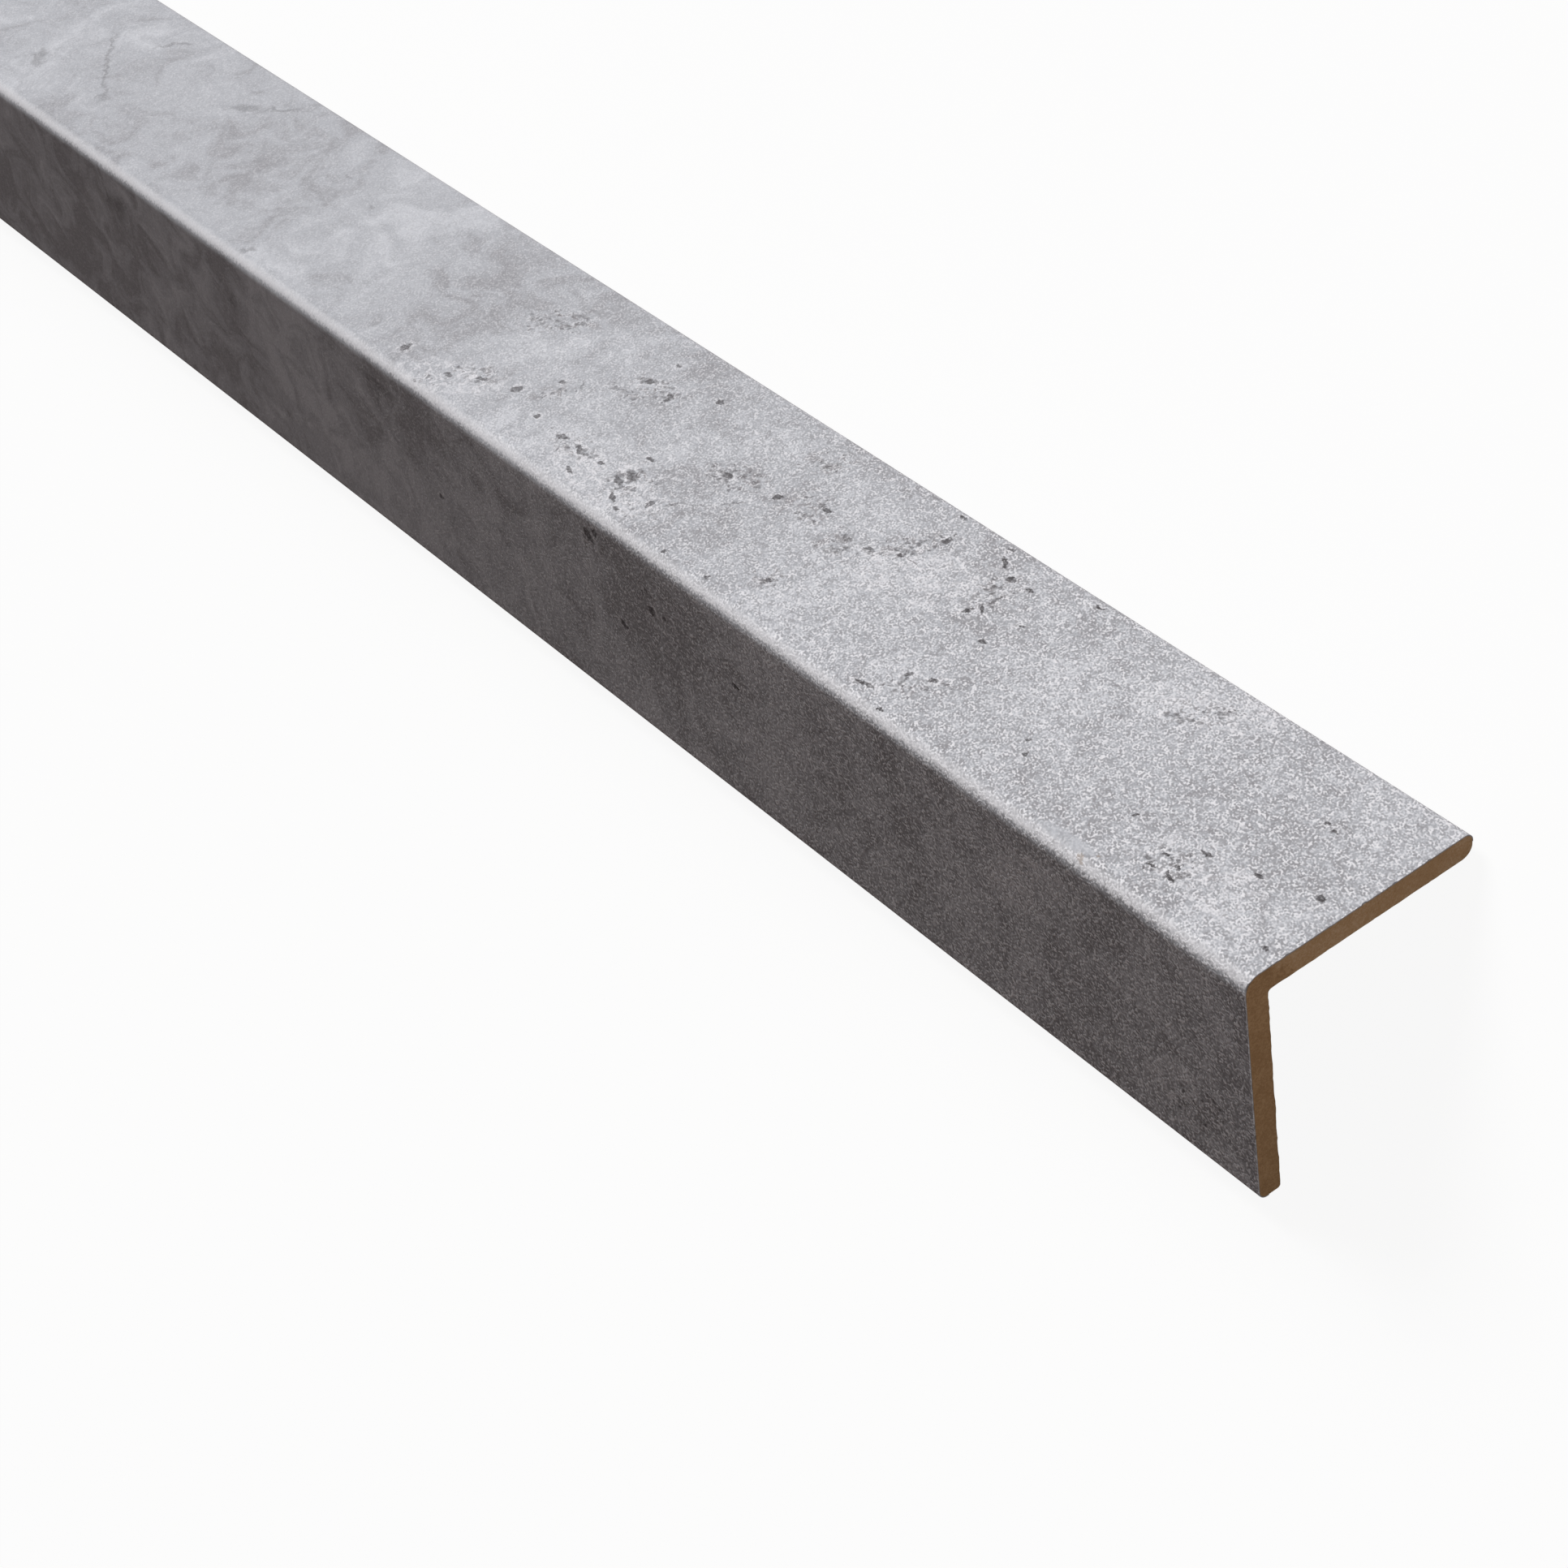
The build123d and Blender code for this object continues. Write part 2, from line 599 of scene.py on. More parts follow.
PRINTED_MARKS: tuple[Mark, ...] = (
    *marks(
        Print.SWARM,
        (159, 2, 2.5, 1.2, 20), (154.5, 7, 6, 2, 15), (143, 12, 3.5, 2, 60), (134.5, 20.5, 5.5, 3, 20),
        (130.5, 6.8, 7, 1.8), (119.5, 7.5, 4.2, 3.6, -50), (113, 4, 3.5, 2, 30), (109, 17, 5, 2.5, 10),
        (98, 19, 5, 2.6, 20), (90.5, 7.5, 2.5, 2.5), (90, 17, 2.8, 2.8), (104, 27, 4, 2.5, 30),
        (61.5, 6.5, 4.5, 2, 35), (83, 22.5, 6.5, 2.2, 55), (68, 24, 5.5, 2.6, 100), (35, 25, 5.5, 2.2, 35),
        (19, 6.6, 4.8, 3, 15), (156.5, 22, 6, 3, 35), (118, -4.5, 4, 2.5), (107, -8.5, 5, 2, -30),
        (9, -24.5, 6, 3, 20),
    ),
    *marks(
        Print.CRUST,
        (157, 4.5, 9, 3.5, 25), (122, 5, 12, 4.5), (76, 20, 10.5, 5.5, 20), (34, 27, 9, 3.4, 25),
        (14, 8, 9, 4.2, -10), (11, -24, 6, 4), (36, -9, 9, 4, 30),
    ),
    *marks(
        Print.PIT,
        (167.7, 4.4, 0.95, 0.65, 100), (157.6, 4.7, 0.7, 0.45), (153.3, 7.2, 0.9, 0.4, 25),
        (147.5, 9, 0.95, 0.75, 60), (144.3, 14, 0.5, 0.4, 30), (140.3, 7.4, 0.55, 0.45),
        (133.9, 6.9, 1, 0.5, 15), (129.6, 6.9, 1.6, 0.42, -20), (127, 3.5, 1.2, 0.32, -15),
        (125.2, 7.1, 0.6, 0.4, 10), (120.3, 6.4, 1.5, 0.55, -20), (119.9, 8.2, 1.5, 0.75, -15),
        (121.1, 11.9, 0.8, 0.35, 10), (118, 3.9, 1.4, 0.35, -30), (115.8, 2.8, 0.6, 0.4),
        (113.3, 6.2, 0.5, 0.8, 10), (111, 16.4, 1.1, 0.55, 5), (102.5, 17.9, 0.85, 0.5, 10),
        (95.7, 20.4, 0.8, 0.35, 10), (135.4, 21.9, 1.1, 0.45, 40), (130.6, 21.5, 0.5, 1.2, 20),
        (135.6, 26.6, 0.45, 0.4), (124.6, 25.3, 0.6, 0.5), (104, 1.9, 0.45, 0.35), (95.8, 2.3, 0.45, 0.35),
        (89.8, 7, 0.9, 0.4, 20), (85.7, 19.1, 0.8, 0.35, 20), (82, 21, 0.5, 0.45), (80.1, 26.4, 0.55, 0.7),
        (82, 30.7, 0.7, 0.35), (72.9, 30.5, 0.6, 0.3, 10), (56.9, 30.3, 0.9, 0.3, 5), (66, 3, 1.7, 0.32, 8),
        (63.6, 7.6, 0.5, 0.45, 60), (60.6, 8.7, 0.6, 0.4, 20), (61.1, 1.4, 0.6, 0.22),
        (67.9, 19.6, 0.9, 0.35, 60), (66.6, 20.9, 0.7, 0.3, -30), (68.6, 26.8, 0.6, 0.6),
        (71.6, 28.4, 1.3, 0.3, -35), (65.3, 26.9, 0.6, 0.35), (62.1, 17.1, 0.6, 0.4, 15),
        (60.9, 21.9, 0.5, 0.35, 30), (43.3, 7.6, 0.4, 0.5), (44.9, 9.5, 0.35, 0.3),
        (17.1, 5.4, 1.15, 0.3, -25), (19.7, 5.3, 0.9, 0.26, 10), (20.1, 7.3, 0.6, 0.28, 40),
        (17.6, 6.9, 0.7, 0.26, -35), (17, 10.5, 0.85, 0.3, 5), (10.7, 11.9, 0.6, 0.3),
        (3.7, 13.9, 0.75, 0.5, -20), (2.5, 4.9, 0.6, 0.3, 10), (11.5, 22.5, 0.4, 0.3),
        (10.2, 22.1, 0.45, 0.32, -20), (27, 9.4, 0.4, 0.28), (119, -4.2, 1.2, 0.8, -35),
        (117.3, -3, 0.8, 0.6), (106.6, -9.6, 0.9, 0.6, 20), (114.5, -15.8, 1, 0.4, -30),
        (89.6, -12, 0.7, 0.4), (158.5, -17.5, 0.6, 0.35),
    ),
    *marks(
        Print.SCAR,
        (111, 8.2, 1.6, 0.22, 60), (108.2, 10.4, 1.6, 0.22, 40), (105.5, 13.4, 1.9, 0.22, 55),
        (141.5, 15.4, 1.5, 0.2, -50), (137, 18.2, 1.6, 0.35, 20), (132.8, 22.6, 1.6, 0.25, 25),
        (160.6, 20.1, 1.4, 0.35, -30), (155.4, 24.7, 1.6, 0.35, 20), (66.8, 23.2, 1.9, 0.24, 85),
        (88.6, 16.3, 1.8, 0.22, 40), (35, 23.6, 2.6, 0.24, 24), (32.6, 27.3, 1.2, 0.26, 70),
        (80, 21, 1.6, 0.16),
    ),
    *marks(
        Print.STAIN,
        (286, 9.4, 3.4, 0.8, -35), (265.6, 10.1, 2, 1.3, -40), (274.5, 15.6, 11, 0.45, -33),
        (271.3, 25.5, 3.6, 0.4, 55), (243.7, 22.9, 2.8, 1.1, 30), (238.9, 26.6, 3, 0.5, 35),
        (213.2, 22.6, 0.7, 0.5), (203.1, 20.7, 0.8, 0.5), (207.5, 2.6, 1.2, 0.5, 20),
        (246.5, -7.1, 3.4, 1.9, 20), (211.8, -9, 1, 1.6), (170.6, -4.6, 5.5, 0.9, -8), (171, -7.4, 1, 2.2),
    ),
    *marks(
        Print.SMEAR,
        (29.5, 1.8, 4.2, 0.85, 3),
    ),
    *marks(
        Print.CHIP,
        (26.2, 0.9, 0.75, 0.2, -40), (24.9, 2.2, 0.28, 0.2),
    ),
)


@dataclass(frozen=True)
class DecorFinish:
    """Concrete-look decor sheet with a fine pearl emboss. Lengths are in millimetres on the sheet.

    Attributes:
        length: Length of the sheet.
        marked_length: Stretch from the near end whose pits are listed one by one, with the rest strewn.
        crisp_near: Distance from the near end within which flecks and emboss are at full strength.
        crisp_far: Distance beyond which they are at their weakest, crisp_least.
        emboss_draw: How much longer than wide the emboss is.
        emboss_turn: Direction in which it is drawn out.
        emboss_slant: Tilt of the noise's cells to the sheet, which keeps rows out of the emboss.
        emboss_height: Height of the ridges, in metres.
    """

    length: float
    marked_length: float = 300.0
    crisp_near: float = 40.0
    crisp_far: float = 210.0
    crisp_least: float = 0.22
    cloud_grain: float = 30.0
    patch_grain: float = 7.0
    fleck_grain: float = 1.1
    flake_grain: float = 1.5
    fine_grain: float = 0.5
    drift_grain: float = 16.0
    pale: Colour = srgb(203, 206, 212)
    mid: Colour = srgb(184, 187, 193)
    shade: Colour = srgb(162, 163, 168)
    flake: Colour = srgb(222, 223, 228)
    pit: Colour = srgb(88, 86, 88)
    sawn: Colour = srgb(140, 139, 142)
    back: Colour = srgb(150, 128, 100)
    chip: Colour = srgb(150, 122, 90)
    # glint: colour of the painted highlight over the rounded corner and of the painted glints on the emboss
    # crests.
    glint: Colour = srgb(240, 240, 244)
    hollow: Colour = srgb(146, 144, 147)
    roughness: float = 0.5
    coat_roughness: float = 0.42
    # How far crests go towards glint and hollows towards hollow: partly the pearl's own tone, partly
    # painted glint and painted shade.
    ridge_strength: float = 0.85
    hollow_strength: float = 0.62
    emboss_grain: float = 0.33
    emboss_draw: float = 1.35
    emboss_turn: float = math.radians(51.0)
    emboss_slant: Place = (0.62, 0.55, 0.4)
    emboss_height: float = 0.03 * MM

    def _nearest(self, graph: Graph, place: Socket, kind: Print) -> Value:
        """Distance to the nearest mark of a kind, 1 on the rim of its oval.

        Args:
            graph: The material's graph.
            place: Place on the sheet.
            kind: Kind of mark.

        Returns:
            The distance, in radii of the oval.
        """
        nearest = None
        for mark in (mark for mark in PRINTED_MARKS if mark.kind is kind):
            spot = place
            if nearest is not None:
                # Each mark waits for the one before it, in the unused Z, so few values are held at once.
                waiting = {0: nearest, 1: (0.0, 0.0, 1.0), 2: place}
                spot = graph.node("ShaderNodeVectorMath", {"operation": "MULTIPLY_ADD"}, waiting).outputs[0]
            side = math.copysign(CORNER_OFFSET, mark.across)
            centre = (self.length / 2.0 - mark.back, mark.across - side, 0.0)
            oval = graph.node("ShaderNodeMapping", {"vector_type": "TEXTURE"}, {
                "Vector": spot, "Location": centre, "Rotation": (0.0, 0.0, math.radians(mark.turn)),
                "Scale": (mark.long, mark.wide, UNUSED)})
            distance = graph.length(oval.outputs[0])
            nearest = distance if nearest is None else nearest.low(distance)
        return nearest

    def build(self) -> Material:
        """Makes the material.

        Returns:
            The finished material.
        """
        material = bpy.data.materials.new("concrete_decor")
        material.use_nodes = True
        graph = Graph(material.node_tree)
        stored = graph.node("ShaderNodeAttribute", {"attribute_name": SHEET_PLACE}).outputs["Vector"]
        axes = graph.node("ShaderNodeSeparateXYZ", None, {0: stored}).outputs
        along, across, on_back = (Value(graph, axis) for axis in axes)
        sheet = graph.node("ShaderNodeVectorMath", {"operation": "MULTIPLY"}, {
            0: stored, 1: (1.0, 1.0, 0.0)}).outputs[0]
        back = self.length / 2.0 - along

        def print_noise(grain: float, detail: float, roughness: float, swirl: float, seed: float) -> Value:
            """Noise of the printed pattern, flat on the sheet."""
            return graph.noise(sheet, grain, detail, roughness, swirl, seed, "2D")

        ragged = graph.warped(sheet, 0.8, 1.3, 31.0)
        frayed = graph.warped(sheet, 3.0, 5.0, 47.0)
        fine = print_noise(self.fine_grain, 2.0, 0.6, 0.0, 8.0)

        # Clouds, patches and flecks of the cast surface.
        cloud = print_noise(self.cloud_grain, 3.0, 0.5, 0.4, 11.0)
        patch = print_noise(self.patch_grain, 4.0, 0.6, 0.8, 23.0)
        fleck = print_noise(self.fleck_grain, 2.0, 0.65, 0.6, 5.0)
        crust = self._nearest(graph, frayed, Print.CRUST).ramp(1.15, 0.75)
        second_leg = across.ramp(0.0, -2.0)
        crisp = back.ramp(self.crisp_far, self.crisp_near) * (1.0 - self.crisp_least) + self.crisp_least
        mottle = (cloud - 0.5) * 0.8 + (patch - 0.5) * 1.1
        flecked = (fleck - 0.5) * crisp * 1.2
        tone = 0.5 + mottle * (0.95 + crisp * 0.5 + second_leg * 0.7) + flecked + crust * 0.2
        ground = graph.mix(tone.ramp(0.1, 0.55), self.shade, self.mid)
        ground = graph.mix(tone.ramp(0.5, 0.95), ground, self.pale)

        # Pits: the marked ones, and small ones strewn over the marked swarms and over the far length.
        pits = self._nearest(graph, ragged, Print.PIT)
        scars = self._nearest(graph, ragged, Print.SCAR)
        swarm = self._nearest(graph, frayed, Print.SWARM).ramp(1.25, 0.5)
        drift = print_noise(self.drift_grain, 2.0, 0.5, 0.6, 61.0).ramp(0.56, 0.7)
        far = back.ramp(self.marked_length, self.marked_length * 1.1)
        strewn = swarm.high(drift * far * 0.9)
        cell = graph.node("ShaderNodeTexVoronoi", {"feature": "F1", "voronoi_dimensions": "2D"}, {
            "Vector": ragged, "Scale": 1.0, "Randomness": 1.0}).outputs
        draw = Value(graph, graph.node("ShaderNodeSeparateColor", None, {0: cell["Color"]}).outputs[0])
        reach = (draw - 0.3).high(0.0) * 0.8 * strewn
        specks = Value(graph, cell["Distance"]) / (reach + 0.001)
        dark = pits.ramp(1.15, 0.7).high(scars.ramp(1.2, 0.5) * 0.6).high(specks.ramp(1.3, 0.4) * 0.7)
        dark = dark * (0.85 + (fine - 0.5) * 1.6).clamp() * (0.62 + crisp * 0.38)
        smudge = swarm * print_noise(1.7, 2.0, 0.6, 0.8, 71.0).ramp(0.52, 0.64)
        rim = (pits.ramp(2.6, 1.3) + scars.ramp(2.4, 1.2) * 0.6 + specks.ramp(2.2, 1.2) * 0.8).clamp()
        flake = print_noise(self.flake_grain, 3.0, 0.65, 1.0, 83.0).ramp(0.5, 0.57)
        stain = self._nearest(graph, frayed, Print.STAIN).ramp(1.5, 0.4)
        colour = graph.mix(smudge * 0.7, ground, self.hollow)
        colour = graph.mix(stain * 0.33, colour, self.pit)
        colour = graph.mix(
            flake * (rim * 0.6 + crust * 0.6 + 0.08).clamp() * (1.0 - dark), colour, self.flake)

        # Pearl emboss: short curly ridges with hollows between them. Over the rounded corner a pale band is
        # a painted highlight.
        smear = self._nearest(graph, ragged, Print.SMEAR).ramp(1.2, 0.8)
        roll = graph.node("ShaderNodeMapping", {"vector_type": "TEXTURE"}, {
            "Vector": sheet, "Rotation": (0.0, 0.0, self.emboss_turn),
            "Scale": (1.0 / self.emboss_draw, 1.0, 1.0)})
        slant = graph.node("ShaderNodeMapping", {"vector_type": "POINT"}, {
            "Vector": roll.outputs[0], "Rotation": self.emboss_slant}).outputs[0]
        curl = (graph.noise(slant, self.emboss_grain, 0.0, 0.5, 0.0, 3.0) - 0.5) * 6.4
        curl = curl + (graph.noise(slant, 2.2 * self.emboss_grain, 0.0, 0.5, 0.0, 19.0) - 0.5) * 1.6
        broken = print_noise(self.fleck_grain, 1.0, 0.5, 0.0, 17.0).ramp(0.36, 0.6) * 0.5 + 0.5
        broken = broken * crisp * (1.0 - smear * 0.6)
        ridge = curl.ramp(-0.15, 1.2) * broken
        hollow = curl.ramp(0.15, -1.2) * broken
        # Painted highlight: a pale band along the rounded corner, mixed towards the glint colour, stands in
        # for the light's highlight there; the coat over it also gives a real one.
        highlight_reach = across + (fine - 0.5) * 1.2 + (ridge - hollow) * 0.15
        bend_highlight = highlight_reach.ramp(-0.95, -0.3) * across.ramp(1.3, -0.1)
        # Crests are mixed towards the glint colour and hollows towards the darker hollow colour: partly the
        # pearl's own tone, partly a painted glint on the crests and painted shade in the hollows.
        colour = graph.mix(hollow * self.hollow_strength, colour, self.hollow)
        colour = graph.mix(ridge * self.ridge_strength, colour, self.glint)
        shine = (ridge - hollow) * 0.35 + (fine - 0.5) * crisp * 0.8 + crisp * 0.2 + 0.66
        # Painted highlight over the rounded corner.
        colour = graph.mix(bend_highlight * shine, colour, self.glint)
        colour = graph.mix(dark, colour, self.pit)
        colour = graph.mix(smear * 0.2, colour, self.pale)
        chip = self._nearest(graph, ragged, Print.CHIP).ramp(1.2, 0.8)
        colour = graph.mix(chip * 0.4, colour, self.chip)
        colour = graph.mix(on_back.ramp(0.05, 0.3), colour, self.sawn)
        colour = graph.mix(on_back.ramp(0.8, 1.0), colour, self.back)

        gloss = self.roughness + (patch - 0.5) * 0.15 + dark * 0.25
        coat = (ridge * 0.3 + bend_highlight * 0.25) * (1.0 - dark)
        bump = graph.node("ShaderNodeBump", None, {
            "Strength": 1.0, "Distance": self.emboss_height, "Height": ridge})
        shader = graph.node("ShaderNodeBsdfPrincipled", None, {
            "Base Color": colour, "Roughness": gloss, "Specular IOR Level": 0.0, "Coat Weight": coat,
            "Coat Roughness": self.coat_roughness, "Normal": bump.outputs[0]})
        graph.node("ShaderNodeOutputMaterial", None, {"Surface": shader.outputs[0]})
        return material


@dataclass(frozen=True)
class FibreFinish:
    """Brown wood fibreboard, sanded on its faces and sawn at its ends. All lengths are in metres."""

    pale: Colour = srgb(158, 132, 104)
    brown: Colour = srgb(143, 114, 82)
    dark: Colour = srgb(124, 95, 64)
    grain: float = 0.35 * MM
    blotch: float = 2.5 * MM
    fibre: float = 0.18 * MM
    fibre_scale: Place = (0.12, 1.0, 1.0)
    fuzz: float = 0.04 * MM
    roughness: float = 0.88

    def build(self) -> Material:
        """Makes the material.

        Returns:
            The finished material.
        """
        material = bpy.data.materials.new("sawn_fibreboard")
        material.use_nodes = True
        graph = Graph(material.node_tree)
        place = graph.node("ShaderNodeTexCoord").outputs["Object"]
        axes = graph.node("ShaderNodeSeparateXYZ", None, {0: place}).outputs
        across = Value(graph, axes[1])
        blotch = graph.noise(place, self.blotch, 3.0, 0.6, 0.5, 0.013)
        grain = graph.noise(place, self.grain, 3.0, 0.65, 0.3, 0.029)
        drawn = graph.shifted(place, scale=self.fibre_scale)
        fibres = graph.noise(drawn, self.fibre, 2.0, 0.6, 0.0, 0.041)
        # Painted light: the first leg's fibreboard is lighter brown than the second leg's, standing in for
        # the light falling differently on the two legs.
        first_leg_painted_light = (across + (blotch - 0.5) * 0.004).ramp(2.3 * MM, 3.0 * MM)
        tone = 0.15 + first_leg_painted_light * 0.45 + (blotch - 0.5) * 0.9 + (grain - 0.5) * 1.3 + (fibres - 0.5) * 0.8
        colour = graph.mix(tone.ramp(-0.1, 0.5), self.dark, self.brown)
        colour = graph.mix(tone.ramp(0.45, 1.0), colour, self.pale)
        height = grain * 0.6 + fibres * 0.4
        bump = graph.node("ShaderNodeBump", None, {
            "Strength": 1.0, "Distance": self.fuzz, "Height": height})
        shader = graph.node("ShaderNodeBsdfPrincipled", None, {
            "Base Color": colour, "Roughness": self.roughness, "Specular IOR Level": 0.2,
            "Normal": bump.outputs[0]})
        graph.node("ShaderNodeOutputMaterial", None, {"Surface": shader.outputs[0]})
        return material


# ---- Pieces ----

BAKE_MAP = "OFBake"
ROOT_BODY = "root"


@dataclass(frozen=True)
class BandMap:
    """A map of a long narrow piece, cut into equal bands that are stacked on a square.

    Each band has a wide strip for the side that shows and a thin one for the side that is glued over.
    """

    length: float
    width: float
    top: float = 1.0
    bands: int = 4
    edge: float = 0.012
    hidden_share: float = 0.06
    gap_share: float = 0.04

    def place(self, along: Array, across: Array, band: Array, hidden: Array) -> Array:
        """Places on the map.

        Args:
            along: Distance along the piece from its middle.
            across: Distance across it, from minus to plus half its width.
            band: Band of each place.
            hidden: Whether the place is on the glued side.

        Returns:
            One row of two coordinates for each place.
        """
        reach = self.length / self.bands
        start = -self.length / 2.0 + band * reach
        share = (along - start) / reach
        height = self.top / self.bands
        wide = height * (1.0 - self.hidden_share - 2.0 * self.gap_share)
        thin = height * self.hidden_share
        foot = band * height + self.gap_share * height
        rise = across / self.width + 0.5
        up = np.where(hidden, foot + wide + self.gap_share * height + rise * thin, foot + rise * wide)
        return np.stack([self.edge + share * (1.0 - 2.0 * self.edge), up], axis=-1)

    def band_of(self, along: Array) -> Array:
        """The band that holds the middle of each face."""
        reach = self.length / self.bands
        return np.clip(np.floor((along + self.length / 2.0) / reach), 0, self.bands - 1)


def finish_piece(name: str, mesh: Mesh, node: str) -> bpy.types.Object:
    """Adds a finished mesh to the scene in place of a frame node.

    Args:
        name: Name of the piece.
        mesh: Its mesh, in place.
        node: Frame node that it stands for.

    Returns:
        The new object.
    """
    piece = bpy.data.objects.new(name, mesh)
    bpy.context.scene.collection.objects.link(piece)
    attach(piece, ROOT_BODY)
    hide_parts(node)
    log.info("%s: %d faces", name, len(mesh.polygons))
    return piece


def stored_places(mesh: Mesh) -> Array:
    """Reads the places of a mesh's vertices.

    Args:
        mesh: The mesh.

    Returns:
        One row of X, Y, Z for each vertex.
    """
    places = np.empty(len(mesh.vertices) * 3, np.float32)
    mesh.vertices.foreach_get("co", places)
    return places.reshape(-1, 3).astype(float)


def rough(place: Place, grain: float, seed: float) -> float:
    """Smooth noise between -1 and 1 with features about one grain across."""
    return noise.noise(Vector(place) / grain + Vector((seed, seed, seed)))


@dataclass
class RunPiece:
    """A closed profile run along the length, with both ends closed and the bake map laid out."""

    section: Section
    rings: int = 91
    run_step: float = 0.5 * MM
    arc_steps: int = 12

    def profile(self) -> Array:
        """The closed line of the profile, one row of p and q for each point."""
        raise NotImplementedError

    def end_faces(self, corners: Array) -> EndFaces:
        """Extra points and the faces of one end.

        Args:
            corners: The profile.

        Returns:
            Points of the end, the profile's first, and the faces between them.
        """
        raise NotImplementedError

    def reshape(self, places: Array, nearest: Array) -> Array:
        """Hook for working the sawn ends of the merged mesh; here it leaves the places as they are.

        Args:
            places: Places of its vertices.
            nearest: Profile point nearest to each vertex; not used here.

        Returns:
            The new places.
        """
        return places

    def closed(self, name: str, run: LengthRun, finish: Material) -> tuple[Mesh, Array]:
        """Runs the profile, closes both ends and works them.

        Args:
            name: Name of the mesh.
            run: The tree that runs a profile along the length.
            finish: Material of the piece.

        Returns:
            The mesh and the profile point nearest to each of its vertices.
        """
        loop, half = self.profile(), self.section.length / 2.0
        world = self.section.to_world(np.zeros(len(loop)), loop[:, 0], loop[:, 1])
        walls = run.run(name, world, self.section.length, self.rings, finish)
        points, faces = self.end_faces(loop)
        build = bmesh.new()
        build.from_mesh(walls)
        for end in (-half, half):
            spots = self.section.to_world(np.full(len(points), end), points[:, 0], points[:, 1])
            corners = [build.verts.new(spot) for spot in spots]
            for face in faces:
                build.faces.new([corners[k] for k in face])
        bmesh.ops.remove_doubles(build, verts=build.verts, dist=SEAM)
        bmesh.ops.recalc_face_normals(build, faces=build.faces)
        build.to_mesh(walls)
        build.free()
        places = stored_places(walls)
        known = KDTree(len(loop))
        for k, (p, q) in enumerate(loop):
            known.insert((p, q, 0.0), k)
        known.balance()
        p, q = self.section.to_legs(places)
        nearest = np.array([known.find(spot)[1] for spot in zip(p, q, np.zeros(len(p)))])
        places = self.reshape(places, nearest)
        walls.vertices.foreach_set("co", places.astype(np.float32).ravel())
        walls.materials.clear()
        walls.materials.append(finish)
        walls.polygons.foreach_set("material_index", [0] * len(walls.polygons))
        walls.polygons.foreach_set("use_smooth", [True] * len(walls.polygons))
        walls.set_sharp_from_angle(angle=CREASE)
        walls.update()
        return walls, nearest

    def lay_map(self, mesh: Mesh, corner_places: Array) -> None:
        """Stores the bake map, one row of two coordinates for each face corner."""
        layer = mesh.uv_layers.new(name=BAKE_MAP)
        layer.uv.foreach_set("vector", corner_places.astype(np.float32).ravel())


@dataclass
class FaceCorners:
    """The face corners of a mesh as arrays."""

    mesh: Mesh
    vertex: Array = field(init=False)
    face: Array = field(init=False)

    def __post_init__(self) -> None:
        """Reads the corners."""
        mesh = self.mesh
        self.vertex = np.empty(len(mesh.loops), np.int32)
        mesh.loops.foreach_get("vertex_index", self.vertex)
        counts = np.empty(len(mesh.polygons), np.int32)
        mesh.polygons.foreach_get("loop_total", counts)
        self.face = np.repeat(np.arange(len(counts)), counts)

    def any_in_face(self, mark: Array) -> Array:
        """For each corner, whether any corner of its face is marked."""
        return np.bincount(self.face, mark[self.vertex])[self.face] > 0

    def all_in_face(self, mark: Array) -> Array:
        """For each corner, whether every corner of its face is marked."""
        return ~self.any_in_face(~mark)

    def face_mean(self, numbers: Array) -> Array:
        """For each corner, the mean of a vertex number over its face."""
        return (np.bincount(self.face, numbers[self.vertex]) / np.bincount(self.face))[self.face]


